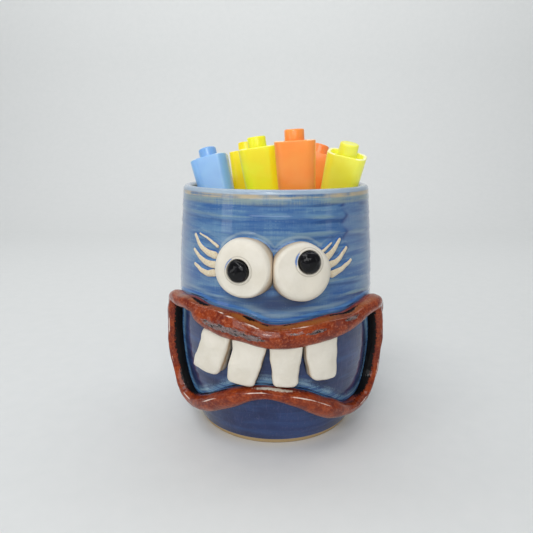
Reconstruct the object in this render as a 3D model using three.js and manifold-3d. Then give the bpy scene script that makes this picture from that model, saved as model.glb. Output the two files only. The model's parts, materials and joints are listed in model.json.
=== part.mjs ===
// A hand-thrown stoneware pencil cup with a monster face of applied clay, holding six highlighters.
// Millimetres. The origin is the centre of the foot, +Z is up and the face looks along -Y.
import * as THREE from "three";
import { mergeVertices } from "three/addons/utils/BufferGeometryUtils.js";
import Module from "manifold-3d";

const wasm = await Module();
wasm.setup();

// ---- Driving dimensions ----

const GAP = 0.3; // clearance kept between pieces that touch

const CUP = {
  height: 118.6,
  footRadius: 39,
  wall: 4.3,
  floor: 5.2,
  fillet: 8, // inside, where the floor turns up into the wall
  lipThickness: 3.4,
  segments: 48,
};
// Outside of the thrown wall: radius and height, from the foot to just under the lip.
const WALL = [
  [39, 0],
  [42.6, 10],
  [46, 26],
  [47.8, 46],
  [48, 64],
  [47.4, 84],
  [46, 104],
  [45, 116.9],
];

// Rolls of clay laid on the wall. Each key is [angle from the front, height, width, proud of the wall].
const UPPER_LIP = [
  [-73, 62, 6, 6.6],
  [-68.5, 65.8, 6.4, 7],
  [-58, 67, 6.5, 7.5],
  [-46, 67.3, 7.4, 8],
  [-34, 63.7, 11, 8.8],
  [-20, 61.8, 12, 9],
  [-6, 58.6, 10.2, 9],
  [7, 58.4, 10.6, 9],
  [21, 60.1, 10.6, 8.8],
  [35, 61.6, 8.9, 8.2],
  [50, 64.6, 7, 7.8],
  [62, 65, 7.4, 7.8],
  [70.5, 61.2, 6.6, 7.2],
];
const LOWER_LIP = [
  [-71.5, 58, 6.2, 7.2],
  [-74, 44, 6.4, 7.8],
  [-72.5, 30, 6.6, 7.6],
  [-66, 19.5, 6.6, 7.4],
  [-54, 16.4, 6.8, 7.6],
  [-40, 20, 8, 8],
  [-26, 26.2, 8.8, 8.4],
  [-12, 31.2, 6.2, 8],
  [0, 31.2, 5.8, 8],
  [14, 27.2, 8.6, 8.4],
  [28, 20.6, 9.4, 8.2],
  [42, 16, 6.2, 7.6],
  [56, 14.6, 5.6, 7.2],
  [68, 17, 6, 7.4],
  [76, 27, 6.4, 7.6],
  [77, 38, 6.6, 7.8],
  [73, 49, 6.4, 7.4],
  [70, 56, 6.2, 7],
];

// Teeth: corners [angle, height] anticlockwise from the upper left.
const TOOTH = { proud: 6, bevel: 1.3 };
const TEETH = [
  [[-37.6, 58.4], [-45.8, 39], [-29.6, 37.6], [-21.6, 57]],
  [[-20.6, 57], [-24.8, 36.4], [-11.2, 34.8], [-4.2, 55.4]],
  [[-3.4, 55.4], [-2.2, 35.6], [10, 35.2], [12, 55]],
  [[12.8, 55], [17, 37.4], [29.8, 37], [29.8, 56]],
];

// Eyes: flattened balls of clay pressed against each other, each with a socket for its pupil.
const EYE = { proud: 8.6, squareness: 0.55, rows: 6 };
const EYES = [
  { side: "left", angle: -15.6, height: 86.5, width: 25.4, tall: 25.2, tiltUp: 8, tiltSide: -4, pupil: [-0.7, -0.9] },
  { side: "right", angle: 11, height: 85.1, width: 24.8, tall: 24.8, tiltUp: 7, tiltSide: 3, pupil: [2, 4.3] },
];
const EYES_MEET = -2.1; // angle of the plane where the two eyes are pressed flat
const PUPIL = { radius: 4.35, flatten: 0.72, ringRadius: 5, ringWire: 1.15 };

// Lashes: thin rolls from the eye outwards, each through its [angle, height] points.
const LASH = { width: 2.6, proud: 1.7 };
const LASHES = {
  left: [
    [[-32.6, 94.4], [-38.6, 97], [-45.4, 99]],
    [[-33.8, 90.6], [-39.2, 91.4], [-45.2, 93.8], [-49.6, 98]],
    [[-34.4, 86.4], [-39.7, 86.8], [-44.9, 88.4], [-50.3, 91.2]],
    [[-34.4, 82.7], [-39.6, 82.1], [-44.8, 83.2], [-49.3, 85]],
  ],
  right: [
    [[24.8, 94], [27, 95.4], [29.6, 97]],
    [[26.9, 90.6], [30.2, 92.8], [34.5, 97.2]],
    [[28, 86.8], [32.8, 88.3], [39.2, 93.2]],
    [[29.2, 82.8], [35, 84.2], [42.7, 87.4]],
  ],
};

// Highlighter: a flat barrel with round corners, and a cap that flares towards its free end.
const PEN = {
  seam: 106.4, // height of the barrel's shoulder above the foot of the pen
  width: 16.2,
  depth: 12,
  corner: 4,
  shell: 1.5,
  plugFlange: 3,
  plugSpigot: 5,
  seatHeight: 5, // collar on the shoulder that the cap slides over
  seatSlack: 0.35,
  neckRadius: 3.8,
  neckBore: 3,
  neckHeight: 13.5,
  nibRadius: 2.6,
  nibProud: 6.5,
  reservoirTop: 101,
};
const CAP = {
  length: 22,
  width: 18,
  depth: 13.5,
  taper: 0.078, // millimetres lost in width and depth for each millimetre down from the free end
  recess: 4,
  deck: 1.5,
  tubeRadius: 4.33,
  tubeBore: 3.3,
  tubeProud: 4.8,
};
// Each pen: foot centre and cap centre [x, y], roll about its length, how far its cap is left out,
// and how high it stands above the cup's floor where the floor curves up.
const PENS = [
  { ink: "blue", color: 0x7fb4e4, foot: [-2.9, -26.2], top: [-32.6, 1.5], roll: -8, capOut: 0, raised: 0.5 },
  { ink: "gold", color: 0xe0c21c, foot: [-7, 15], top: [-15.4, 31], roll: -12, capOut: 0, raised: 0 },
  { ink: "lemon", color: 0xdfe42a, foot: [9.8, -10.2], top: [-8.4, -9.8], roll: 0, capOut: 2, raised: 0 },
  { ink: "orange", color: 0xf08c3c, foot: [15, -24.6], top: [7.8, -25], roll: -1, capOut: 0.9, raised: 3.4 },
  { ink: "deep_orange", color: 0xf0682c, foot: [-13.5, 1], top: [21.8, 14.5], roll: 0, capOut: 1.8, raised: 0 },
  { ink: "pale_yellow", color: 0xdcdc48, foot: [10.8, 17.2], top: [32.1, -14.6], roll: -16, capOut: 2.4, raised: 0 },
];

// ---- Solids and placing ----

function solidOf(geometry) {
  const bare = geometry.clone();
  bare.deleteAttribute("normal");
  bare.deleteAttribute("uv");
  const merged = mergeVertices(bare, 1e-4);
  return new wasm.Manifold(
    new wasm.Mesh({
      numProp: 3,
      vertProperties: merged.getAttribute("position").array,
      triVerts: new Uint32Array(merged.index.array),
    }),
  );
}

function geometryOf(solid) {
  const { vertProperties, triVerts } = solid.getMesh();
  const geometry = new THREE.BufferGeometry();
  geometry.setAttribute("position", new THREE.BufferAttribute(vertProperties, 3));
  geometry.setIndex(new THREE.BufferAttribute(triVerts, 1));
  geometry.computeVertexNormals();
  return geometry;
}

function clay(color, roughness) {
  return new THREE.MeshStandardMaterial({ color, roughness, metalness: 0 });
}

function piece(name, solid, material) {
  const mesh = new THREE.Mesh(geometryOf(solid), material);
  mesh.name = name;
  return mesh;
}

// A solid turned about +Z from rows of [radius, height].
function turned(rows, segments) {
  const profile = rows.map(([radius, height]) => new THREE.Vector2(radius, height));
  return new THREE.LatheGeometry(profile, segments).rotateX(Math.PI / 2);
}

const wallCurve = new THREE.SplineCurve(WALL.map(([r, z]) => new THREE.Vector2(r, z)));
const wallTable = wallCurve.getPoints(120);

function wallRadius(height) {
  const above = wallTable.findIndex((point) => point.y >= height);
  if (above === 0) return wallTable[0].x;
  if (above < 0) return wallTable.at(-1).x;
  const low = wallTable[above - 1];
  const high = wallTable[above];
  return THREE.MathUtils.mapLinear(height, low.y, high.y, low.x, high.x);
}

// The flat drawing of the wall: x is the arc at the belly, y the height, z the distance off the wall.
const BELLY = 48;
const arcOf = (degrees) => THREE.MathUtils.degToRad(degrees) * BELLY;

function wrapOnWall(geometry) {
  const position = geometry.getAttribute("position");
  for (let i = 0; i < position.count; i++) {
    const angle = position.getX(i) / BELLY;
    const height = position.getY(i);
    const radius = wallRadius(height) + position.getZ(i);
    position.setXYZ(i, radius * Math.sin(angle), -radius * Math.cos(angle), height);
  }
  return geometry;
}

// A frame on the wall: x to the viewer's right, y up, z straight out, then tilted up and sideways.
function seatOnWall(angle, height, tiltUp, tiltSide) {
  const turn = THREE.MathUtils.degToRad(angle);
  const radius = wallRadius(height);
  const right = new THREE.Vector3(Math.cos(turn), Math.sin(turn), 0);
  const out = new THREE.Vector3(Math.sin(turn), -Math.cos(turn), 0);
  const seat = new THREE.Matrix4().makeBasis(right, new THREE.Vector3(0, 0, 1), out);
  seat.setPosition(out.clone().multiplyScalar(radius).setZ(height));
  const tilt = new THREE.Euler(
    THREE.MathUtils.degToRad(-tiltUp),
    THREE.MathUtils.degToRad(tiltSide),
    0,
  );
  return seat.multiply(new THREE.Matrix4().makeRotationFromEuler(tilt));
}

// ---- Cup ----

function outerWall(offset, rows) {
  return wallCurve.getPoints(rows).map(({ x, y }) => [x + offset, y]);
}

function wallBlank() {
  const below = [
    [0, -20],
    [CUP.footRadius + GAP, -20],
  ];
  const above = [
    [wallRadius(CUP.height) + GAP, CUP.height + 20],
    [0, CUP.height + 20],
  ];
  return solidOf(turned([...below, ...outerWall(GAP, 14), ...above], CUP.segments));
}

function cupBody() {
  const half = CUP.lipThickness / 2;
  const lipRadius = wallRadius(CUP.height) - half;
  const lip = [];
  for (const degrees of [45, 90, 135, 180]) {
    const angle = THREE.MathUtils.degToRad(degrees);
    lip.push([lipRadius + half * Math.cos(angle), CUP.height - half + half * Math.sin(angle)]);
  }
  const inside = [];
  for (const height of [104, 80, 56, 34, 20]) {
    inside.push([wallRadius(height) - CUP.wall, height]);
  }
  const filletTop = CUP.floor + CUP.fillet;
  const filletRadius = wallRadius(filletTop) - CUP.wall - CUP.fillet;
  for (const degrees of [0, 30, 60, 90]) {
    const angle = THREE.MathUtils.degToRad(degrees);
    inside.push([
      filletRadius + CUP.fillet * Math.cos(angle),
      filletTop - CUP.fillet * Math.sin(angle),
    ]);
  }
  const foot = [
    [0, 0],
    [CUP.footRadius - 1.2, 0],
    [CUP.footRadius + 0.3, 1.5],
  ];
  const outside = outerWall(0, 14).filter(([, height]) => height > 3);
  const axis = [0, CUP.floor];
  return solidOf(turned([...foot, ...outside, ...lip, ...inside, axis], CUP.segments));
}

// ---- Clay applied to the wall ----

// A roll of clay along keys of [angle, height, width, proud]: a capsule laid along the path and
// wrapped onto the wall. grow fattens it, to cut its neighbours clear of it.
function clayRoll(keys, steps, sides, grow) {
  const path = new THREE.CatmullRomCurve3(
    keys.map(([angle, height]) => new THREE.Vector3(arcOf(angle), height, 0)),
  );
  const sizes = new THREE.CatmullRomCurve3(
    keys.map(([, , width, proud]) => new THREE.Vector3(width, proud, 0)),
  );
  const geometry = new THREE.CapsuleGeometry(1, 2, 2, sides, steps);
  const position = geometry.getAttribute("position");
  for (let i = 0; i < position.count; i++) {
    const along = position.getY(i);
    const t = THREE.MathUtils.clamp((along + 1) / 2, 0, 1);
    const beyond = along - THREE.MathUtils.clamp(along, -1, 1);
    const centre = path.getPoint(t);
    const size = sizes.getPoint(t);
    const forward = path.getTangent(t);
    const across = new THREE.Vector3(forward.y, -forward.x, 0);
    const halfWidth = size.x / 2 + grow;
    const halfDepth = size.y * 0.58 + grow;
    centre.addScaledVector(across, position.getX(i) * halfWidth);
    centre.addScaledVector(forward, beyond * halfWidth);
    centre.z = size.y * 0.42 + position.getZ(i) * halfDepth;
    position.setXYZ(i, centre.x, centre.y, centre.z);
  }
  return solidOf(wrapOnWall(geometry));
}

function tooth(corners) {
  const shape = new THREE.Shape(
    corners.map(([angle, height]) => new THREE.Vector2(arcOf(angle), height)),
  );
  const root = 2; // how far the slab reaches into the wall before the wall is cut away
  const geometry = new THREE.ExtrudeGeometry(shape, {
    depth: TOOTH.proud + root - 2 * TOOTH.bevel,
    bevelThickness: TOOTH.bevel,
    bevelSize: TOOTH.bevel,
    bevelOffset: -TOOTH.bevel,
    bevelSegments: 2,
  });
  return solidOf(wrapOnWall(geometry.translate(0, 0, TOOTH.bevel - root)));
}

function flatBall(eye) {
  const rows = [[0, -6]];
  for (let i = 0; i <= EYE.rows; i++) {
    const angle = (i / EYE.rows) * (Math.PI / 2);
    rows.push([
      Math.cos(angle) ** EYE.squareness * (eye.width / 2),
      Math.sin(angle) ** EYE.squareness * EYE.proud,
    ]);
  }
  rows.splice(1, 0, [eye.width / 2 - 1.5, -6]);
  rows[rows.length - 1][0] = 0;
  const geometry = turned(rows, 20);
  return geometry.scale(1, eye.tall / eye.width, 1);
}

// The half of space on one side of the plane where the eyes meet.
function eyeSide(side) {
  const reach = 80;
  const shift = side === "left" ? -reach / 2 - GAP / 2 : reach / 2 + GAP / 2;
  const box = new THREE.BoxGeometry(reach, reach, reach).translate(shift, 0, 0);
  return solidOf(box.applyMatrix4(seatOnWall(EYES_MEET, 88, 0, 0)));
}

function pupilBall(eye, grow) {
  const [right, up] = eye.pupil;
  const ball = new THREE.SphereGeometry(PUPIL.radius + grow, 16, 8);
  ball.scale(1, 1, PUPIL.flatten).translate(right, up, EYE.proud - 0.2);
  return solidOf(ball.applyMatrix4(seatOnWall(eye.angle, eye.height, eye.tiltUp, eye.tiltSide)));
}

function eyeBody(eye, blank) {
  const seat = seatOnWall(eye.angle, eye.height, eye.tiltUp, eye.tiltSide);
  const ball = solidOf(flatBall(eye).applyMatrix4(seat));
  const [right, up] = eye.pupil;
  const ring = new THREE.TorusGeometry(PUPIL.ringRadius, PUPIL.ringWire, 6, 16);
  ring.translate(right, up, EYE.proud - 0.7);
  return ball
    .add(solidOf(ring.applyMatrix4(seat)))
    .intersect(eyeSide(eye.side))
    .subtract(blank)
    .subtract(pupilBall(eye, GAP));
}

function face() {
  const lipClay = clay(0x8c3f2c, 0.2);
  const cream = clay(0xddd7cb, 0.75);
  const buff = clay(0xc9b48f, 0.8);
  const blank = wallBlank();
  const group = new THREE.Group();

  const upperLip = clayRoll(UPPER_LIP, 20, 9, 0).subtract(blank);
  const upperClear = clayRoll(UPPER_LIP, 20, 9, GAP);
  const lowerLip = clayRoll(LOWER_LIP, 36, 9, 0).subtract(blank).subtract(upperClear);
  const lowerClear = clayRoll(LOWER_LIP, 36, 9, GAP);
  group.add(piece("upper_lip", upperLip, lipClay));
  group.add(piece("lower_lip", lowerLip, lipClay));

  TEETH.forEach((corners, i) => {
    const body = tooth(corners).subtract(blank).subtract(upperClear).subtract(lowerClear);
    group.add(piece(`tooth_${i + 1}`, body, cream));
  });

  const glossBlack = clay(0x101012, 0.08);
  for (const eye of EYES) {
    group.add(piece(`eye_${eye.side}`, eyeBody(eye, blank), cream));
    group.add(piece(`pupil_${eye.side}`, pupilBall(eye, 0), glossBlack));
    LASHES[eye.side].forEach((points, i) => {
      const keys = points.map(([angle, height]) => [angle, height, LASH.width, LASH.proud]);
      const body = clayRoll(keys, 5, 5, 0).subtract(blank);
      group.add(piece(`lash_${eye.side}_${i + 1}`, body, buff));
    });
  }
  return group;
}

// ---- Highlighters ----

function penSection(width, depth, corner) {
  const x = width / 2 - corner;
  const y = depth / 2 - corner;
  const shape = new THREE.Shape();
  shape.absarc(x, y, corner, 0, Math.PI / 2);
  shape.absarc(-x, y, corner, Math.PI / 2, Math.PI);
  shape.absarc(-x, -y, corner, Math.PI, 1.5 * Math.PI);
  shape.absarc(x, -y, corner, 1.5 * Math.PI, 2 * Math.PI);
  return shape;
}

function bar(shape, bottom, top) {
  const geometry = new THREE.ExtrudeGeometry(shape, {
    depth: top - bottom,
    bevelEnabled: false,
    curveSegments: 3,
  });
  return solidOf(geometry.translate(0, 0, bottom));
}

function rod(radius, bottom, top) {
  const geometry = new THREE.CylinderGeometry(radius, radius, top - bottom, 14);
  return solidOf(geometry.rotateX(Math.PI / 2).translate(0, 0, (top + bottom) / 2));
}

const PEN_BOTTOM = PEN.plugFlange + GAP;

function barrel() {
  const inner = PEN.shell * 2;
  const bore = penSection(PEN.width - inner, PEN.depth - inner, PEN.corner - PEN.shell);
  const slack = (PEN.shell + PEN.seatSlack) * 2;
  const seat = penSection(PEN.width - slack, PEN.depth - slack, PEN.corner - PEN.shell);
  return bar(penSection(PEN.width, PEN.depth, PEN.corner), PEN_BOTTOM, PEN.seam)
    .add(bar(seat, PEN.seam - 1, PEN.seam + PEN.seatHeight))
    .add(rod(PEN.neckRadius, PEN.seam - 1, PEN.seam + PEN.neckHeight))
    .subtract(bar(bore, 0, PEN.seam - PEN.shell))
    .subtract(rod(PEN.neckBore, PEN.seam - 3, PEN.seam + PEN.neckHeight + 1));
}

function endPlug() {
  const slack = (PEN.shell + GAP) * 2;
  const spigot = penSection(PEN.width - slack, PEN.depth - slack, PEN.corner - PEN.shell);
  const flange = penSection(PEN.width, PEN.depth, PEN.corner);
  return bar(flange, 0, PEN.plugFlange).add(bar(spigot, 1, PEN_BOTTOM + PEN.plugSpigot));
}

function reservoir() {
  const slack = (PEN.shell + GAP) * 2;
  const shape = penSection(PEN.width - slack, PEN.depth - slack, PEN.corner - PEN.shell);
  return bar(shape, PEN_BOTTOM + PEN.plugSpigot + GAP, PEN.reservoirTop);
}

// A felt nib through the neck, its tip cut slanting to a chisel.
function nib() {
  const tip = PEN.seam + PEN.neckHeight + PEN.nibProud;
  const knife = new THREE.BoxGeometry(20, 20, 20).translate(0, 0, 10);
  knife.rotateX(THREE.MathUtils.degToRad(40)).translate(0, 0, tip - 2);
  return rod(PEN.nibRadius, PEN.reservoirTop + GAP, tip).subtract(solidOf(knife));
}

// A bar whose section shrinks by the cap's taper, measured down from the cap's free end.
function flared(width, depth, corner, bottom, top) {
  const end = PEN.seam + CAP.length;
  const geometry = new THREE.ExtrudeGeometry(penSection(width, depth, corner), {
    depth: top - bottom,
    bevelEnabled: false,
    curveSegments: 3,
  });
  geometry.translate(0, 0, bottom);
  const position = geometry.getAttribute("position");
  for (let i = 0; i < position.count; i++) {
    const lost = (end - position.getZ(i)) * CAP.taper;
    position.setX(i, position.getX(i) * (1 - lost / width));
    position.setY(i, position.getY(i) * (1 - lost / depth));
  }
  return solidOf(geometry);
}

function cap() {
  const mouth = PEN.seam + GAP;
  const end = PEN.seam + CAP.length;
  const deckTop = end - CAP.recess;
  const deckUnder = deckTop - CAP.deck;
  const inner = PEN.shell * 2;
  const width = CAP.width - inner;
  const depth = CAP.depth - inner;
  const corner = PEN.corner - PEN.shell + 0.5;
  return flared(CAP.width, CAP.depth, PEN.corner + 0.5, mouth, end)
    .subtract(flared(width, depth, corner, deckTop, end + 1))
    .add(rod(CAP.tubeRadius, deckUnder - 0.5, end + CAP.tubeProud))
    .subtract(flared(width, depth, corner, mouth - 1, deckUnder))
    .subtract(rod(CAP.tubeBore, deckUnder - 1, end + CAP.tubeProud - 1.4));
}

// The frame of a pen standing in the cup: its own +Z runs up the barrel from its foot.
function penFrame({ foot, top, roll, raised }) {
  const length = PEN.seam + CAP.length;
  const dx = top[0] - foot[0];
  const dy = top[1] - foot[1];
  const axis = new THREE.Vector3(dx, dy, Math.sqrt(length ** 2 - dx ** 2 - dy ** 2)).normalize();
  const right = new THREE.Vector3(1, 0, 0).addScaledVector(axis, -axis.x).normalize();
  const back = new THREE.Vector3().crossVectors(axis, right);
  const basis = new THREE.Matrix4().makeBasis(right, back, axis);
  basis.multiply(new THREE.Matrix4().makeRotationZ(THREE.MathUtils.degToRad(roll)));
  const group = new THREE.Group();
  group.quaternion.setFromRotationMatrix(basis);
  // The lowest corner of the foot stands on the floor of the cup.
  let drop = 0;
  for (const point of penSection(PEN.width, PEN.depth, PEN.corner).getPoints(4)) {
    const corner = new THREE.Vector3(point.x, point.y, 0).applyQuaternion(group.quaternion);
    drop = Math.max(drop, -corner.z);
  }
  group.position.set(foot[0], foot[1], CUP.floor + GAP + drop + raised);
  return group;
}

function highlighter(pen) {
  const group = penFrame(pen);
  const plastic = new THREE.MeshStandardMaterial({ color: pen.color, roughness: 0.3 });
  const felt = new THREE.MeshStandardMaterial({ color: pen.color, roughness: 0.95 });
  group.add(piece(`${pen.ink}_barrel`, barrel(), plastic));
  group.add(piece(`${pen.ink}_end_plug`, endPlug(), plastic));
  group.add(piece(`${pen.ink}_reservoir`, reservoir(), felt));
  group.add(piece(`${pen.ink}_nib`, nib(), felt));
  const lid = piece(`${pen.ink}_cap`, cap(), plastic);
  lid.position.z = pen.capOut;
  group.add(lid);
  return group;
}

// ---- The whole ----

const object = new THREE.Group();
object.add(piece("cup_body", cupBody(), clay(0x5c7ba6, 0.2)));
object.add(face());
for (const pen of PENS) {
  object.add(highlighter(pen));
}

export default object;
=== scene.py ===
import json
import math

import bmesh
import bpy
import numpy as np
from mathutils import Matrix, Vector


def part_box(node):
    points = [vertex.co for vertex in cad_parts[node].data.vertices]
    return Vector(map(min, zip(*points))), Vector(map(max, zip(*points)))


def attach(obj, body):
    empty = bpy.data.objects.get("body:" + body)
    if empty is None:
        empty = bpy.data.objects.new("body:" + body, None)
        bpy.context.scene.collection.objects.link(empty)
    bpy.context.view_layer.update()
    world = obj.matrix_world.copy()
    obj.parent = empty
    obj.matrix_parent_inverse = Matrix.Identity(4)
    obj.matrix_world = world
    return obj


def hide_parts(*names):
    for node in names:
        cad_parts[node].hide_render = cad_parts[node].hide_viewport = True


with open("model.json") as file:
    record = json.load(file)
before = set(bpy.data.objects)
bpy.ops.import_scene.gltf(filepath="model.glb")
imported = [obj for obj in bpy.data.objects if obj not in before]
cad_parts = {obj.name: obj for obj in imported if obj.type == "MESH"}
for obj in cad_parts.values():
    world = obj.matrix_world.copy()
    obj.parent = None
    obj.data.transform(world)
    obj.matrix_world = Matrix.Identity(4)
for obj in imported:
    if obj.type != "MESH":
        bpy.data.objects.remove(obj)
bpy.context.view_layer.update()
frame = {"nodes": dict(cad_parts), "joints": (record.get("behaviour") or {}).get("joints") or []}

# A thrown stoneware pencil cup with a monster's face of applied clay, and the six highlighters that stand in
# it. +Z is up and the face looks along -Y. Lengths are in millimetres until a mesh is made, which is in metres.
MM = 0.001


# ---- Studio ----
# A pale sweep of card under and behind the cup. A large soft light and a small one like a window stand high in
# front, with one overhead, a weak one low at each side and one on the card behind, in a pale room that the
# glaze reflects.

camera = bpy.data.objects.new("camera", bpy.data.cameras.new("camera"))
camera.location = (-0.0045, -0.2496, 0.134)
camera.rotation_euler = (math.radians(77), 0, 0)
camera.data.lens = 33.78
camera.data.sensor_width = 36
camera.data.clip_start = 0.01
bpy.context.scene.collection.objects.link(camera)
bpy.context.scene.camera = camera
bpy.context.scene.view_settings.view_transform = "Standard"


class Wire:
    """An output of a shader node. Arithmetic on it adds Math nodes."""

    def __init__(self, tree, socket=None):
        self.tree = tree
        self.socket = socket

    def node(self, kind, settings=(), sockets=(), out=0):
        """A new node. Its settings are set first, then the values or links of its sockets."""
        made = self.tree.nodes.new("ShaderNode" + kind)
        for name, value in dict(settings).items():
            setattr(made, name, value)
        for name, value in dict(sockets).items():
            if isinstance(value, Wire):
                self.tree.links.new(value.socket, made.inputs[name])
            else:
                made.inputs[name].default_value = value
        return Wire(self.tree, made.outputs[out])

    def math(self, operation, *values):
        return self.node("Math", {"operation": operation}, dict(enumerate(values)))

    def __add__(self, other):
        return self.math("ADD", self, other)

    def __sub__(self, other):
        return self.math("SUBTRACT", self, other)

    def __rsub__(self, other):
        return self.math("SUBTRACT", other, self)

    def __mul__(self, other):
        return self.math("MULTIPLY", self, other)

    __radd__ = __add__
    __rmul__ = __mul__


def tint(code):
    """A colour written as six hexadecimal digits, made linear."""
    parts = [int(code[i : i + 2], 16) / 255 for i in (0, 2, 4)]
    return [p / 12.92 if p <= 0.04045 else ((p + 0.055) / 1.055) ** 2.4 for p in parts] + [1]


def mix(mask, low, high, blend="MIX"):
    """The colour low where the mask is 0, and high where it is 1."""
    return mask.node("Mix", {"data_type": "RGBA", "blend_type": blend}, {0: mask, 6: low, 7: high}, out=2)


def rise(value, start, end):
    """0 up to start and 1 from end on, smooth between. It falls where start is above end."""
    sockets = {"Value": value, "From Min": start, "From Max": end}
    return value.node("MapRange", {"interpolation_type": "SMOOTHSTEP"}, sockets)


def places(nodes, stretch=(1, 1, 1)):
    """Places on the object in millimetres, squeezed along each axis by the stretch."""
    own = nodes.node("TexCoord", out="Object")
    scale = [1 / (MM * s) for s in stretch]
    return nodes.node("VectorMath", {"operation": "MULTIPLY"}, {0: own, 1: scale})


def noise(nodes, place, size, detail=2, rough=0.5, twist=0):
    sockets = {"Vector": place, "Scale": 1 / size, "Detail": detail, "Roughness": rough, "Distortion": twist}
    return nodes.node("TexNoise", sockets=sockets)


def bumped(nodes, height, depth, under=None):
    """A normal that follows a height from 0 to 1, with its depth in millimetres."""
    sockets = {"Height": height, "Strength": 1, "Distance": depth * MM}
    if under:
        sockets["Normal"] = under
    return nodes.node("Bump", sockets=sockets)


def finish_of(name, **fixed):
    """A new material, its shader with these constant sockets, and a wire to start its nodes from."""
    made = bpy.data.materials.new(name)
    made.use_nodes = True
    shader = made.node_tree.nodes["Principled BSDF"]
    for socket, value in fixed.items():
        shader.inputs[socket.replace("_", " ")].default_value = value
    return made, shader, Wire(made.node_tree)


def feed(shader, **wires):
    for socket, wire in wires.items():
        wire.tree.links.new(wire.socket, shader.inputs[socket.replace("_", " ")])


def mesh_object(name, points, faces, material):
    """A smooth mesh object, from points in millimetres."""
    mesh = bpy.data.meshes.new(name)
    mesh.from_pydata((np.reshape(points, (-1, 3)) * MM).tolist(), [], faces)
    work = bmesh.new()
    work.from_mesh(mesh)
    bmesh.ops.recalc_face_normals(work, faces=work.faces)
    work.to_mesh(mesh)
    work.free()
    mesh.shade_smooth()
    mesh.materials.append(material)
    made = bpy.data.objects.new(name, mesh)
    bpy.context.scene.collection.objects.link(made)
    return made


def skin(name, rings, material, ends=True, joined=False):
    """A mesh through closed rings of points. Its ends are capped, or the last ring joins the first."""
    rings = np.asarray(rings)
    index = np.arange(rings.shape[0] * rings.shape[1]).reshape(rings.shape[:2])
    ahead = np.roll(index, -1, axis=0) if joined else index[1:]
    here = index if joined else index[:-1]
    quads = np.stack([here, np.roll(here, -1, axis=1), np.roll(ahead, -1, axis=1), ahead], axis=-1)
    faces = quads.reshape(-1, 4).tolist()
    if ends and not joined:
        faces += [index[0].tolist(), index[-1].tolist()]
    return mesh_object(name, rings, faces, material)


card, shader, nodes = finish_of("pale_card", Specular_IOR_Level=0.2)
fibre = noise(nodes, places(nodes), 9, detail=4)
feed(
    shader,
    Base_Color=mix(fibre, tint("dcdedd"), tint("e2e3e2")),
    Roughness=0.75 + 0.1 * fibre,
)
SWEEP = {"half_width": 1600, "front": -1500, "back": 900, "bend": 350, "tall": 1500}
sweep_side = [(SWEEP["front"], 0), (SWEEP["back"] - SWEEP["bend"], 0)]
for degrees in range(5, 90, 5):
    turn = math.radians(degrees)
    reach = SWEEP["back"] - SWEEP["bend"] + SWEEP["bend"] * math.sin(turn)
    sweep_side.append((reach, SWEEP["bend"] * (1 - math.cos(turn))))
sweep_side.append((SWEEP["back"], SWEEP["tall"]))
sweep_points = [(side * SWEEP["half_width"], y, z) for y, z in sweep_side for side in (-1, 1)]
sweep_faces = [[2 * i, 2 * i + 1, 2 * i + 3, 2 * i + 2] for i in range(len(sweep_side) - 1)]
mesh_object("sweep", sweep_points, sweep_faces, card)

# Name, place, what it points at, width and height, and power in watts.
for name, place, aim, size, power in (
    ("front_light", (-0.12, -0.95, 0.52), (0, 0, 0.08), (0.9, 0.45), 3.6),
    ("window_light", (-0.12, -0.8, 0.75), (0, 0, 0.08), (0.2, 0.2), 1.5),
    ("top_light", (-0.3, -0.3, 0.8), (0, 0, 0.1), (0.5, 0.3), 1.7),
    ("left_light", (-0.7, -0.45, 0.15), (0, 0, 0.07), (0.2, 0.45), 0.5),
    ("side_light", (0.75, -0.4, 0.2), (0, 0, 0.07), (0.12, 0.7), 0.2),
    ("sweep_light", (0, 0.25, 0.9), (0, 0.95, 0.15), (1.6, 0.4), 4.8),
):
    lamp = bpy.data.objects.new(name, bpy.data.lights.new(name, "AREA"))
    lamp.data.shape = "RECTANGLE"
    lamp.data.size, lamp.data.size_y = size
    lamp.data.energy = power
    lamp.location = place
    lamp.rotation_euler = (Vector(aim) - Vector(place)).to_track_quat("-Z", "Y").to_euler()
    lamp.visible_camera = False
    bpy.context.scene.collection.objects.link(lamp)

room = bpy.data.worlds.new("room")
room.use_nodes = True
room.node_tree.nodes["Background"].inputs["Color"].default_value = tint("e9edf2")
room.node_tree.nodes["Background"].inputs["Strength"].default_value = 0.36
bpy.context.scene.world = room


# ---- Lips ----
# Two thick rolls of clay pressed onto the thrown wall, an upper one across the middle and a lower one down one
# side, along the bottom in a wave and up the other. They are brushed with an iron red glaze, which breaks to
# orange on the edges and to a dull grey in cracks, and is black where the lower roll turns in to the mouth.
# Painted shadow blackens the crevice above the upper roll, and a painted highlight runs along the crests.

BELLY = 48  # radius at which the flat drawing of the wall has its true width
WALL = [(39, 0), (42.6, 10), (46, 26), (47.8, 46), (48, 64), (47.4, 84), (46, 104), (45, 116.9), (44.9, 119)]
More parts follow.
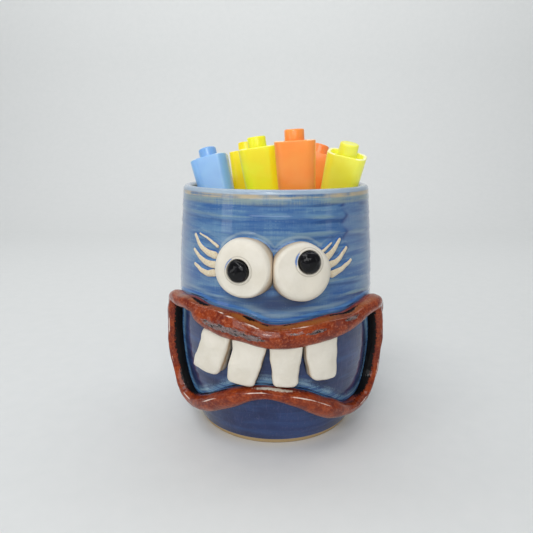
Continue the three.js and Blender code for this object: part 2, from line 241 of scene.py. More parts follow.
# Keys of a roll: angle from the front, height, width, and how far it stands off the wall.
UPPER_LIP = [
    (-74, 56, 5.6, 6), (-73, 62, 6, 6.6), (-68.5, 65.8, 6.4, 7), (-58, 67, 6.5, 7.5), (-46, 67.3, 7.4, 8),
    (-34, 63.7, 11, 8.8), (-20, 61.8, 12, 9), (-6, 58.6, 10.2, 9), (7, 58.4, 10.6, 9), (21, 60.1, 10.6, 8.8),
    (35, 61.6, 8.9, 8.2), (50, 64.6, 7, 7.8), (62, 65, 7.4, 7.8), (70.5, 61.2, 6.6, 7.2), (72.5, 55, 5.8, 6.2),
]
LOWER_LIP = [
    (-70, 65, 5.6, 6.2), (-71.5, 58, 6.2, 7.2), (-74, 44, 6.4, 7.8), (-72.5, 30, 6.6, 7.6),
    (-66, 19.5, 6.6, 7.4), (-54, 16.4, 6.8, 7.6), (-40, 20, 8, 8), (-26, 26.2, 8.8, 8.4), (-12, 31.2, 6.2, 8),
    (0, 31.2, 5.8, 8), (14, 27.2, 8.6, 8.4), (28, 20.6, 9.4, 8.2), (42, 16, 6.2, 7.6),
    (56, 14.6, 5.6, 7.2), (68, 17, 6, 7.4), (76, 27, 6.4, 7.6), (77, 38, 6.6, 7.8),
    (73, 49, 6.4, 7.4), (69, 57, 6.2, 7), (66.5, 63, 5.6, 6.4),
]
ROUND_END = 12  # rings in the round end of a roll


def through(keys, count):
    """Rows on a smooth curve through rows of keys."""
    keys = np.array(keys, float)
    keys = np.vstack([2 * keys[0] - keys[1], keys, 2 * keys[-1] - keys[-2]])
    along = np.linspace(0, len(keys) - 3, count)
    first = np.minimum(along.astype(int), len(keys) - 4)
    f = (along - first)[:, None]
    a, b, c, d = (keys[first + i] for i in range(4))
    return b + 0.5 * f * (c - a + f * (2 * a - 5 * b + 4 * c - d + f * (3 * b - a - 3 * c + d)))


wall_curve = through(WALL, 400)


def wall_radius(height):
    return np.interp(height, wall_curve[:, 1], wall_curve[:, 0])


def arc_of(degrees):
    return np.radians(degrees) * BELLY


def wrapped(arc, height, off):
    """Points of the wall's flat drawing, bent round the wall."""
    radius = wall_radius(height) + off
    angle = arc / BELLY
    return np.stack([radius * np.sin(angle), -radius * np.cos(angle), height], axis=-1)


def lumps(points, size, seed, waves=16):
    """Smooth random numbers, mostly from -1 to 1, that change over about this size."""
    random = np.random.default_rng(seed)
    total = 0
    for _ in range(waves):
        wave = random.normal(size=points.shape[-1]) * 2 / size
        total = total + np.sin(points @ wave + random.uniform(0, 2 * math.pi))
    return total * math.sqrt(2 / waves) * 0.7


def near(value, middle, spread):
    """1 at the middle, falling away to 0 over the spread."""
    return np.exp(-(((value - middle) / spread) ** 2))


def paint(made, **fields):
    """Numbers held at each point of a mesh, for its material."""
    for name, values in fields.items():
        layer = made.data.attributes.new(name, "FLOAT", "POINT")
        layer.data.foreach_set("value", np.ascontiguousarray(np.ravel(values), dtype=np.float32))


def painted(nodes, name):
    return nodes.node("Attribute", {"attribute_name": name}, out="Fac")


def roll(keys, steps, sides, shape=None):
    """Rings of a roll of clay with round ends. Also, for each point, the angle of its place in the drawing, its
    turn round the roll and how far along the roll it is. The turn is 0 on the side to the right of the way the
    roll runs: the mouth's side of the upper lip, and the chin's side of the lower one."""
    keys = [(arc_of(k[0]), *k[1:]) for k in keys]
    path = through(keys, steps)
    forward = np.gradient(path[:, :2], axis=0)
    forward /= np.linalg.norm(forward, axis=1)[:, None]
    end = np.sin(np.radians(np.linspace(88, 6, ROUND_END)))
    beyond = np.concatenate([-end, np.zeros(steps), end[::-1]])
    pick = np.concatenate([np.zeros(ROUND_END, int), np.arange(steps), np.full(ROUND_END, steps - 1)])
    path, forward, close = path[pick], forward[pick], np.sqrt(1 - beyond**2)
    turn = np.linspace(0, 2 * math.pi, sides, endpoint=False)[None, :]
    half = path[:, 2:3] / 2
    side = np.cos(turn) * half
    off = path[:, 3:4] * (0.42 + 0.58 * np.sin(turn) * close[:, None])
    along = np.cumsum(np.linalg.norm(np.gradient(path[:, :2], axis=0), axis=1))[:, None]
    turn = np.degrees(turn) + 0 * side
    along = along + 0 * side
    angle = np.degrees(path[:, :1] / BELLY) + 0 * side
    if shape:
        more_side, more_off = shape(angle, turn, along, side)
        side, off = side + more_side, off + more_off
    side = side * close[:, None]
    arc = path[:, :1] + forward[:, 1:] * side + forward[:, :1] * beyond[:, None] * half
    height = path[:, 1:2] - forward[:, :1] * side + forward[:, 1:] * beyond[:, None] * half
    return wrapped(arc, height, off), angle, turn, along


def upper_crest(angle, along):
    """The turn round the upper roll at which its crest runs."""
    return 138 + 14 * near(angle, -31, 9) - 5 * near(angle, -12, 6) + 3 * lumps(along[..., None], 14, 3)


def upper_lip_shape(angle, turn, along, side):
    """A crest along the upper third, a fold where the lip swings up to its left corner, and finger dents."""
    place = np.stack([along, turn / 12], axis=-1)
    crest_turn = upper_crest(angle, along)
    crest = near(angle, 4, 52) * near(turn, crest_turn, 11)
    hollow = near(angle, 4, 52) * near(turn, crest_turn + 24, 14)
    fold = near(angle + 0.9 * side, -41, 2.2) * (turn < 190)
    dents = 0.28 * lumps(place, 9, 5) + 0.1 * lumps(place, 3, 6)
    off = 0.8 * crest - 0.5 * hollow - 0.8 * fold + dents * (turn < 190)
    return 0.25 * lumps(place, 8, 7) * np.cos(np.radians(turn)), off


def lower_lip_shape(angle, turn, along, side):
    """A soft crest on the side of the mouth, and finger dents."""
    place = np.stack([along, turn / 12], axis=-1)
    crest = near(turn, 122 + 6 * lumps(place[..., :1], 18, 13), 15)
    dents = 0.26 * lumps(place, 10, 15) + 0.08 * lumps(place, 3, 16)
    return 0.22 * lumps(place, 9, 17) * np.cos(np.radians(turn)), 0.5 * crest + dents * (turn < 190)


def iron_red():
    made, shader, nodes = finish_of(
        "iron_red_glaze", IOR=1.5, Specular_IOR_Level=0.1, Coat_IOR=1.4, Coat_Roughness=0.035
    )
    place = places(nodes)
    black = painted(nodes, "black")
    scar = painted(nodes, "scar")
    cloud = noise(nodes, place, 6, detail=3)
    mottle = noise(nodes, place, 1.1, detail=4, rough=0.65)
    grain = noise(nodes, place, 0.38, detail=3, rough=0.6)
    fine = noise(nodes, place, 0.2, detail=2)
    red = mix(rise(cloud, 0.35, 0.66), tint("6e1f07"), tint("963a0c"))
    red = mix(rise(mottle, 0.48, 0.68) * 0.38, red, tint("bd5f28"))
    red = mix(rise(mottle, 0.46, 0.36) * 0.6, red, tint("5e1a0e"))
    red = mix(rise(grain, 0.56, 0.68) * 0.4, red, tint("521a10"))
    fleck = rise(grain + (mottle - 0.5) * 1.2, 0.58, 0.74) * painted(nodes, "bloom")
    red = mix(fleck * 0.4, red, tint("bd8670"))
    red = mix(painted(nodes, "edge") * rise(cloud + grain, 0.7, 1.05), red, tint("9a5f2a"))
    # A painted highlight along the crest of each roll, where the glaze also breaks pale.
    pale = rise(painted(nodes, "worn") + (mottle - 0.5) * 0.7, 0.4, 0.8)
    red = mix(pale * 0.85, red, tint("ead9cc"))
    down_roll, round_roll = painted(nodes, "along") * 0.35, painted(nodes, "turn") * 0.12
    run = nodes.node("CombineXYZ", sockets={"X": down_roll, "Y": round_roll})
    crack = noise(nodes, run, 1.1, detail=5, rough=0.72, twist=0.4)
    grey = rise(scar + (crack - 0.5) * 2.4, 0.42, 0.66)
    red = mix(grey * 0.85, red, mix(rise(crack + fine, 0.75, 1.25), tint("5c4440"), tint("a3a2a3")))
    pit = rise(crack + (mottle - 0.5) * 0.4, 0.53, 0.6) * rise(scar, 0.25, 0.6)
    red = mix(pit * 0.92, red, tint("17100e"))
    # Black where painted: painted shadow in the crevice above the upper roll, and the lower roll's flank that
    # turns in to the mouth.
    inked = rise(black + (mottle - 0.5) * 1.5 + (grain - 0.5) * 0.9, 0.4, 0.6)
    color = mix(inked, red, tint("0a090a"))
    # A pale patch on the lower roll: glaze pooled milky, with a painted highlight on it.
    milk = rise(painted(nodes, "milk") + (mottle - 0.5) * 1.3 + (grain - 0.5) * 0.6, 0.35, 0.8)
    color = mix(milk * 0.9, color, tint("cfc9ba"))
    normal = bumped(nodes, mottle, 0.09)
    normal = bumped(nodes, grain, 0.03, normal)
    normal = bumped(nodes, 1 - pit, 0.35, normal)
    feed(
        shader,
        Base_Color=color,
        Roughness=0.34 + 0.2 * grain + 0.25 * grey + 0.2 * inked,
        Coat_Weight=(0.75 - grey * 0.5) * (1 - inked * 0.7),
        Normal=normal,
    )
    return made


red_glaze = iron_red()

rings, angle, turn, along = roll(UPPER_LIP, 560, 52, upper_lip_shape)
upper_lip = skin("upper_lip_roll", rings, red_glaze)
crest_turn = upper_crest(angle, along)
ragged = 0.95 + 0.3 * lumps(along[..., None], 7, 22)
scar = 1.1 * np.clip(1.15 - np.abs((angle + 20) / 16) ** 3, 0, 1) * near(turn, 86, 15)
scar += 0.9 * near(angle, 8, 3) * near(turn, 114, 8) + 0.95 * near(angle, 17.5, 4.5) * near(turn, 108, 12)
scar += 0.95 * near(angle, 36, 5.5) * near(turn, 124, 15)
uneven = 0.5 + 0.5 * lumps(along[..., None], 5, 21)
# Painted shadow: black along the crevice where the upper roll meets the wall above it.
black = 1.1 * near(turn, 170, 9) * near(angle, -4, 46) * uneven
black += 1.2 * near(turn, 168, 11) * (near(angle, 38, 6) + near(angle, -42, 4) + near(angle, -15, 3))
paint(
    upper_lip,
    turn=turn,
    along=along,
    black=black,
    scar=scar,
    bloom=np.clip(0.8 - 0.55 * near(turn, 25, 34) + 0.5 * near(abs(angle), 64, 14), 0, 1),
    edge=near(turn, crest_turn + 18, 13) * near(angle, 0, 60),
    milk=0 * turn,
    # Painted highlight on the crest, where the glaze also breaks pale.
    worn=near(turn, crest_turn + 3, 3.2) * near(angle, -8, 42) * ragged,
)
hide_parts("upper_lip")
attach(upper_lip, "cup")

rings, angle, turn, along = roll(LOWER_LIP, 900, 52, lower_lip_shape)
lower_lip = skin("lower_lip_roll", rings, red_glaze)
rim_black = np.clip(0.6 + 0.6 * lumps(along[..., None], 8, 23), 0, 1)
side_part = np.clip((np.abs(along / along.max() - 0.5) - 0.2) / 0.06, 0, 1)
paint(
    lower_lip,
    turn=turn,
    along=along,
    # Black on the flank that turns in to the mouth at each side, and a broken black line along the mouth's side
    # of the roll.
    black=np.maximum(np.clip((turn - 140) / 36, 0, 1.3) * side_part, 0.9 * near(turn, 176, 12) * rim_black),
    scar=0.8 * near(angle, 40, 2.5) * near(turn, 60, 9) + 0.7 * near(angle, -36, 4) * near(turn, 30, 9),
    bloom=0.1 + 0.4 * near(turn, 115, 20),
    edge=near(turn, 2, 24) + near(turn, 358, 24),
    # Pooled milky glaze with a painted highlight, under the middle teeth.
    milk=1.1 * near(angle, -2, 10) * near(turn, 160, 15),
    # Painted highlight along the side crest.
    worn=near(turn, 126, 5) * np.clip(0.3 + 1.2 * lumps(along[..., None], 9, 24), 0, 1),
)
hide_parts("lower_lip")
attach(lower_lip, "cup")


# ---- Teeth ----
# Four slabs of pale clay with softened edges, tucked under the upper lip and pressed onto the wall. They are
# left bare of glaze, so they are matt, their edges are a light tan, and painted shade darkens them at the wall.

# Outlines: angle from the front and height, round each tooth from its upper left.
TEETH = [
    [
        (-37.6, 59.5), (-39, 53), (-44.6, 43.8), (-46.3, 38.6),
        (-38, 37.6), (-29.6, 37.4), (-25.8, 45.5), (-21.4, 58.5),
    ],
    [
        (-20.8, 58.5), (-21.4, 51.6), (-23.9, 42.3), (-25.2, 36.3),
        (-18, 35), (-11.2, 34.3), (-7.2, 45), (-3.7, 57),
    ],
    [(-3.5, 57), (-3.2, 48), (-2.2, 41), (-2.4, 35.3), (4, 34.7), (10.1, 35), (10.3, 41.5), (12.6, 57)],
    [(12.6, 57), (14, 46.5), (17, 37), (24, 36.5), (30, 36.9), (29.6, 47), (30, 58)],
]
TOOTH = {"proud": 6, "corner": 2.9, "edge": 1.6, "crown": 0.4}


def rounded_outline(corners, radius, count):
    """Points evenly spaced round a polygon with rounded corners, and the direction out at each."""
    corners = np.array(corners, float)
    middle = corners.mean(axis=0)
    dense = []
    for before, corner, after in zip(np.roll(corners, 1, axis=0), corners, np.roll(corners, -1, axis=0)):
        back = (before - corner) / np.linalg.norm(before - corner)
        ahead = (after - corner) / np.linalg.norm(after - corner)
        reach = min(radius * 1.3, np.linalg.norm(before - corner) * 0.48, np.linalg.norm(after - corner) * 0.48)
        start, stop = corner + back * reach, corner + ahead * reach
        for t in np.linspace(0, 1, 14):
            dense.append((1 - t) ** 2 * start + 2 * t * (1 - t) * corner + t**2 * stop)
    dense = np.array(dense + dense[:1])
    run = np.concatenate([[0], np.cumsum(np.linalg.norm(np.diff(dense, axis=0), axis=1))])
    at = np.linspace(0, run[-1], count, endpoint=False)
    line = np.stack([np.interp(at, run, dense[:, i]) for i in (0, 1)], axis=1)
    ahead = np.roll(line, -1, axis=0) - np.roll(line, 1, axis=0)
    out = np.stack([ahead[:, 1], -ahead[:, 0]], axis=1) / np.linalg.norm(ahead, axis=1)[:, None]
    if ((line - middle) * out).sum() < 0:
        out = -out
    return line, out, middle


def cream_clay():
    made, shader, nodes = finish_of("cream_clay", IOR=1.45, Specular_IOR_Level=0.35)
    place = places(nodes)
    cloud = noise(nodes, place, 8, detail=3)
    grain = noise(nodes, place, 0.5, detail=4, rough=0.7)
    color = mix(rise(cloud, 0.3, 0.7), tint("dcd5c6"), tint("e4ded1"))
    color = mix(rise(grain, 0.6, 0.75) * 0.3, color, tint("c6b898"))
    burnt = painted(nodes, "burnt")
    # A light tan along the sides and edges of the teeth and eyes.
    color = mix(rise(burnt + (cloud - 0.5) * 0.5, 0.25, 1.1) * 0.75, color, tint("bf9b69"))
    # Painted shade: dark where the clay meets the wall and in the gaps round each pupil's ring.
    color = mix(painted(nodes, "deep"), color, tint("6b5f4c"))
    color = mix(rise(painted(nodes, "caught") + (grain - 0.5) * 0.8, 0.4, 0.7), color, tint("5f7fb6"))
    normal = bumped(nodes, noise(nodes, place, 1.6, detail=5, rough=0.62), 0.18)
    feed(shader, Base_Color=color, Roughness=0.62 + 0.2 * grain, Normal=normal)
    return made


cream = cream_clay()
teeth_outlines = []
for number, corners in enumerate(TEETH, 1):
    corners = [(arc_of(a), h) for a, h in corners]
    outline, out, middle = rounded_outline(corners, TOOTH["corner"], 120)
    teeth_outlines.append(outline)
    levels = [(0, z) for z in np.linspace(-1, TOOTH["proud"] - TOOTH["edge"], 9)]
    for degrees in range(10, 91, 10):
        lean = math.radians(degrees)
        inset = TOOTH["edge"] * (1 - math.cos(lean))
        levels.append((inset, TOOTH["proud"] - TOOTH["edge"] * (1 - math.sin(lean))))
    rings, burnt, deep = [], [], []
    for inset, z in levels:
        ring = outline - out * inset
        rings.append(np.column_stack([ring, np.full(len(ring), z)]))
        burnt.append(np.full(len(ring), near(z, TOOTH["proud"] - 2.2, 1.5)))
        # Painted shade, darker towards the wall.
        deep.append(np.full(len(ring), 0.75 * np.clip((2.2 - z) / 2.5, 0, 1)))
    last = rings[-1][:, :2]
    for share in np.linspace(0.95, 0.03, 24):
        ring = middle + (last - middle) * share
        crown = TOOTH["crown"] * (1 - share**2)
        rings.append(np.column_stack([ring, np.full(len(ring), TOOTH["proud"] + crown)]))
        burnt.append(np.full(len(ring), 0.55 * near(share, 1.02, 0.1)))
        deep.append(np.zeros(len(ring)))
    rings = np.array(rings)
    seed = 30 + number
    face_up = np.clip((rings[..., 2] - 2) / 2, 0, 1)
    waviness = 0.25 * lumps(rings[..., :2], 6, seed) + 0.05 * lumps(rings[..., :2], 1.6, seed + 10)
    rings[..., 2] += face_up * waviness
    rings[..., 0] += 0.14 * lumps(rings, 3, seed + 20)
    rings[..., 1] += 0.14 * lumps(rings, 3, seed + 30)
    tooth = skin(f"tooth_slab_{number}", wrapped(rings[..., 0], rings[..., 1], rings[..., 2]), cream)
    paint(tooth, burnt=np.array(burnt), deep=np.array(deep), caught=np.zeros(rings.shape[:2]))
    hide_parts(f"tooth_{number}")
    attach(tooth, "cup")


# ---- Eyes ----
# Two balls of pale clay, pressed flat onto the wall and against each other. Each has a low ring round the
# socket for its pupil. Bare clay again, with a little blue glaze caught beside the ring, and painted shade
# where the ball meets the wall and round the ring.

EYE = {"proud": 8.6, "power": 4.4, "meet": -2.1, "skirt": 6}
EYES = [
    {
        "side": "left", "angle": -15.6, "height": 86.5, "width": 25.4, "tall": 25.2, "up": 8, "aside": -4,
        "pupil": (-0.7, -0.9), "facet": (-42, 0.13), "caught": 150,
    },
    {
        "side": "right", "angle": 11, "height": 85.1, "width": 24.8, "tall": 24.8, "up": 7, "aside": 3,
        "pupil": (2, 4.3), "facet": (140, 0.09), "caught": 165,
    },
]
SOCKET = {"radius": 4.75, "ring": 5.15, "wire": 0.34, "high": 0.6, "deep": 1.8}


def seat_on_wall(angle, height, up, aside):
    """A frame on the wall: x to the right, y up, z straight out, then tilted up and aside. In millimetres."""
    turn = math.radians(angle)
    right = Vector((math.cos(turn), math.sin(turn), 0))
    out = Vector((math.sin(turn), -math.cos(turn), 0))
    seat = Matrix((right, Vector((0, 0, 1)), out)).transposed().to_4x4()
    seat.translation = out * wall_radius(height) + Vector((0, 0, height))
    tilt = Matrix.Rotation(math.radians(-up), 4, "X") @ Matrix.Rotation(math.radians(aside), 4, "Y")
    return np.array(seat @ tilt)


def moved(points, matrix):
    return points @ matrix[:3, :3].T + matrix[:3, 3]


def eye_ball(eye):
    """Rings round the pupil's place, out over the face of the eye, down its side and into the wall."""
    half = np.array([eye["width"] / 2, eye["tall"] / 2])
    centre = np.array(eye["pupil"])
    turn = np.linspace(0, 2 * math.pi, 144, endpoint=False)
    way = np.stack([np.cos(turn), np.sin(turn)], axis=1)
    a = ((way / half) ** 2).sum(axis=1)
    b = (way * centre / half**2).sum(axis=1)
    c = ((centre / half) ** 2).sum() - 1
    reach = (-b + np.sqrt(b * b - a * c)) / a
    start = 6.3
    radii = [np.full(len(turn), r) for r in np.linspace(0.6, start, 26)]
    for share in np.sin(np.radians(np.linspace(3, 90, 40))):
        radii.append(start + (reach - start) * share)
    rings, fields = [], []
    for radius in radii:
        flat = centre + way * radius[:, None]
        rho = np.sqrt(((flat / half) ** 2).sum(axis=1)).clip(0, 1)
        z = EYE["proud"] * (1 - rho ** EYE["power"]) ** (1 / EYE["power"])
        # Patted flat: a leaning plane takes the top off the ball.
        lean = math.radians(eye["facet"][0])
        plane = EYE["proud"] - 0.7 - eye["facet"][1] * (flat @ [math.cos(lean), math.sin(lean)])
        z = 0.5 * (z + plane - np.sqrt((z - plane) ** 2 + 0.25))
        z = z + SOCKET["high"] * near(radius, SOCKET["ring"], SOCKET["wire"])
        z = z - SOCKET["deep"] * np.clip((SOCKET["radius"] - radius) / 0.8, 0, 1)
        rings.append(np.column_stack([flat, z]))
        fields.append(rho)
    skirt = np.linspace(-0.5, -EYE["skirt"], 10)
    for z in skirt:
        rings.append(np.column_stack([rings[-1][:, :2], np.full(len(turn), z)]))
        fields.append(np.ones(len(turn)))
    around = np.cos(turn - math.radians(eye["caught"]))[None, :]
    far = np.array([*radii, *[radii[-1]] * len(skirt)])
    caught = near(far, SOCKET["ring"] + 0.4, 0.4) * np.clip(around * 3 - 2, 0, 1)
    # Painted shade in the gap between the pupil and its ring, and faintly at the ring's outer foot.
    gap = np.clip(near(far, SOCKET["radius"] - 0.3, 0.35) + 0.45 * near(far, SOCKET["ring"] + 0.65, 0.2), 0, 1)
    return np.array(rings), np.array(fields), caught, gap


eye_outlines = []
for eye in EYES:
    sign = -1 if eye["side"] == "left" else 1
    rings, rho, caught, gap = eye_ball(eye)
    seat = seat_on_wall(eye["angle"], eye["height"], eye["up"], eye["aside"])
    seed = 60 + sign
    rings[..., 2] += 0.3 * lumps(rings[..., :2], 9, seed) * (rings[..., 2] > 1)
    rings[..., :2] *= (1 + 0.012 * lumps(rings, 7, seed + 5))[..., None]
    depth_in = 1 - np.clip(rings[..., 2] / EYE["proud"], 0, 1)
    rings = moved(rings, seat)
    # Pressed flat where the two eyes meet.
    meet = math.radians(EYE["meet"])
    across = rings[..., 0] * math.cos(meet) + rings[..., 1] * math.sin(meet)
    over = np.clip(0.1 - across * sign, 0, None)
    rings[..., 0] += sign * over * math.cos(meet)
    rings[..., 1] += sign * over * math.sin(meet)
    ball = skin(f"eye_ball_{eye['side']}", rings, cream)
    # Painted shade low on the ball where it meets the wall, and in the gaps round the ring.
    deep = np.maximum(0.8 * np.clip((depth_in - 0.74) / 0.3, 0, 1), gap)
    paint(ball, burnt=near(rho, 1.0, 0.04) * 0.7, deep=deep, caught=caught)
    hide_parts(f"eye_{eye['side']}")
    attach(ball, "cup")
    turns = np.radians(np.arange(0, 360, 5))
    edge = np.stack([np.cos(turns) * eye["width"] / 2, np.sin(turns) * eye["tall"] / 2], axis=1)
    eye_outlines.append(edge + [arc_of(eye["angle"]), eye["height"]])


# ---- Pupils ----
# Two smaller balls of clay squashed into the sockets, a little lumpy, under a thick black glaze.

PUPIL = {"radius": 4.6, "flatten": 0.62}


def black_gloss():
    made, shader, nodes = finish_of(
        "black_glaze", IOR=1.45, Specular_IOR_Level=0.05, Coat_Weight=0.6, Coat_IOR=1.4, Coat_Roughness=0.03
    )
    place = places(nodes)
    cloud = noise(nodes, place, 2.2, detail=3)
    color = mix(rise(cloud, 0.4, 0.8), tint("060608"), tint("17161b"))
    normal = bumped(nodes, noise(nodes, place, 1.8, detail=2), 0.25)
    feed(shader, Base_Color=color, Roughness=0.08 + 0.12 * cloud, Normal=normal)
    return made


black = black_gloss()
for eye in EYES:
    lean = np.radians(np.linspace(-88, 88, 40))[:, None]
    turn = np.linspace(0, 2 * math.pi, 64, endpoint=False)[None, :]
    flat = np.cos(lean) ** 0.8
    ball = np.stack([flat * np.cos(turn), flat * np.sin(turn), np.sin(lean) + 0 * turn], axis=-1)
    seed = 80 + len(eye["side"])
    ball *= (1 + 0.03 * lumps(ball, 0.9, seed) + 0.02 * lumps(ball, 0.4, seed + 1))[..., None]
    ball *= [PUPIL["radius"], PUPIL["radius"], PUPIL["radius"] * PUPIL["flatten"]]
    ball += [*eye["pupil"], EYE["proud"] - 0.5]
    seat = seat_on_wall(eye["angle"], eye["height"], eye["up"], eye["aside"])
    pupil = skin(f"pupil_ball_{eye['side']}", moved(ball, seat), black)
    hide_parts(f"pupil_{eye['side']}")
    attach(pupil, "cup")


# ---- Lashes ----
# Short thin rolls of clay beside the eyes, fat at the eye and drawn to a point. The first on each side is the
# thinnest. Their tops were wiped clean of glaze, so bare buff clay shows.

LASH = {"root": 3.4, "tip": 1.5, "thin": 0.42, "proud": 1.5}
LASHES = {
    "left": [
        [(-32.1, 94.4), (-38.6, 97), (-45.4, 99)],
        [(-33.8, 90.6), (-39.2, 91.4), (-45.2, 93.8), (-49.6, 98)],
        [(-34.4, 86.4), (-39.7, 86.8), (-44.9, 88.4), (-50.3, 91.2)],
        [(-34.4, 82.7), (-39.6, 82.1), (-44.8, 83.2), (-49.3, 85)],
    ],
    "right": [
        [(23.4, 93), (26.2, 94.6), (29, 96.3)],
        [(25.9, 90), (29.9, 92.6), (34.5, 97.2)],
        [(27.1, 86.6), (32.8, 88.3), (39.2, 93.2)],
        [(29.2, 82.8), (35, 84.2), (42.7, 87.4)],
    ],
}


def buff_clay():
    made, shader, nodes = finish_of(
        "buff_clay", IOR=1.45, Specular_IOR_Level=0.4, Coat_Weight=0.5, Coat_Roughness=0.12
    )
    place = places(nodes)
    grain = noise(nodes, place, 0.6, detail=4, rough=0.65)
    color = mix(rise(grain, 0.35, 0.7), tint("e0d5bc"), tint("cfbb98"))
    sunk = painted(nodes, "sunk")
    color = mix(rise(sunk + (grain - 0.5) * 0.6, 0.35, 0.7), color, tint("3d5f9c"))
    feed(shader, Base_Color=color, Roughness=0.45 + 0.3 * grain, Normal=bumped(nodes, grain, 0.12))
    return made


buff = buff_clay()
lash_lines = []
for side, lashes in LASHES.items():
    for number, points in enumerate(lashes, 1):
        shares = np.linspace(0, 1, len(points))
        size = LASH["thin"] if number == 1 else 1
        keys = [
            (a, h, size * (LASH["root"] + (LASH["tip"] - LASH["root"]) * s), LASH["proud"] * (1 - 0.35 * s))
            for (a, h), s in zip(points, shares)
        ]
        rings, angle, turn, along = roll(
            keys, 60, 20, lambda angle, turn, along, side: (0.12 * lumps(along[..., None], 2.5, number), 0)
        )
        lash = skin(f"lash_roll_{side}_{number}", rings, buff)
        paint(lash, sunk=1 - np.clip(np.sin(np.radians(turn)) * 2.2 + 0.1, 0, 1))
        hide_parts(f"lash_{side}_{number}")
        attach(lash, "cup")
        lash_lines.append(through([(arc_of(a), h, w) for a, h, w, _ in keys], 24))


# ---- Cup ----
# A cup thrown on the wheel, with the marks of the fingers up its wall, a rounded rim and a flat foot. A streaky
# blue glaze covers it down to a bare band above the foot. It breaks to grey and tan on the ridges, and pools to
# a strong blue along the face, which was put on before it. Painted shade darkens the crevices along the lips
# and teeth and the wall below the eyes, and a painted reflection pales the wall towards each side.

CUP = {"height": 118.6, "foot": 39, "wall": 4.3, "floor": 5.2, "fillet": 8, "lip": 3.4, "bare": 3}
# One thread of finger marks climbs the wall. The first number of each depth is its height.
THREAD = {"pitch": 7, "crest": 107.4}
THREAD_DEPTHS = [(0, 0.02), (30, 0.04), (60, 0.06), (74, 0.14), (86, 0.08), (98, 0.13), (114, 0.14), (116.5, 0)]


def gap_to(points, lines, widths=0):
    """Distance from each point to a line drawn through others, less half the line's width."""
    best = np.full(points.shape[:-1], 1e9)
    widths = np.broadcast_to(widths, len(lines))
    for start, stop, width in zip(lines[:-1], lines[1:], widths):
        step = stop - start
        share = np.clip(((points - start) @ step) / (step @ step + 1e-9), 0, 1)
        away = np.linalg.norm(points - start - share[..., None] * step, axis=-1) - width / 2
        best = np.minimum(best, away)
    return best


def inside(points, outline):
    """1 for a point inside a closed outline, and 0 outside it."""
    odd = np.zeros(points.shape[:-1], bool)
    for (ax, ay), (bx, by) in zip(outline, np.roll(outline, -1, axis=0)):
        crosses = (ay > points[..., 1]) != (by > points[..., 1])
        odd ^= crosses & (points[..., 0] < (bx - ax) * (points[..., 1] - ay) / (by - ay + 1e-12) + ax)
    return odd.astype(float)


def signed(points, outline):
    """Distance outside a closed outline, below 0 inside it."""
    closed = np.vstack([outline, outline[:1]])
    return gap_to(points, closed) * (1 - 2 * inside(points, outline))


def fading(distance, reach):
    """1 at no distance and less away from it."""
    return np.exp(-np.clip(distance, 0, None) / reach)


